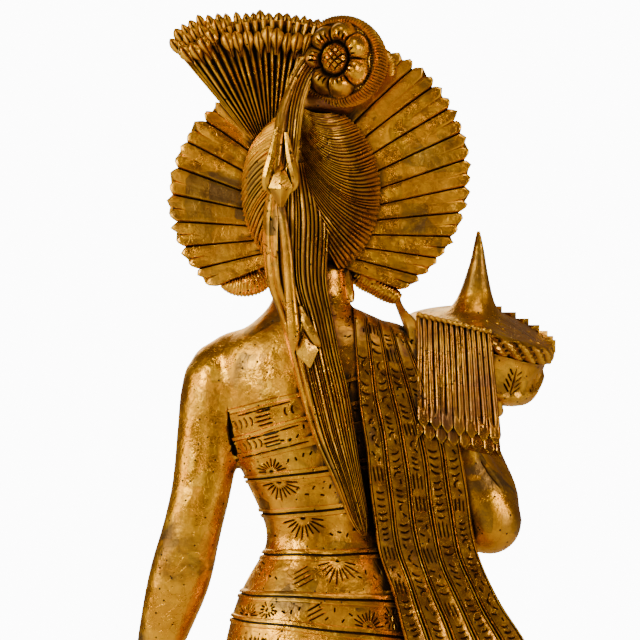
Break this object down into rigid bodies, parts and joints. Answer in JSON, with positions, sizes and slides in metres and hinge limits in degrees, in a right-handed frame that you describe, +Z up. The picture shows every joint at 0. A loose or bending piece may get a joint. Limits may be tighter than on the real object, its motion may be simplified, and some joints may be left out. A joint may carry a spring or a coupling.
{
  "type": "carved wooden female figure",
  "caption": "Standing woman carved in wood and gilded, with a pleated fan headdress, a plume, a sash and a lidded bowl carried at the shoulder.",
  "frame": {"origin": "middle of the base's flat underside, under the figure", "axes": "+Z up from the underside; the figure faces -Y; +X towards the figure's hanging left hand"},
  "size_m": [0.2741, 0.184, 0.7525],
  "materials": {
    "gilded_wood": "gold leaf over red-brown bole, dark brown in the cuts, rubbed and speckled with age"
  },
  "bodies": {
    "root": {"figure": "gilded_wood"}
  },
  "joints": []
}
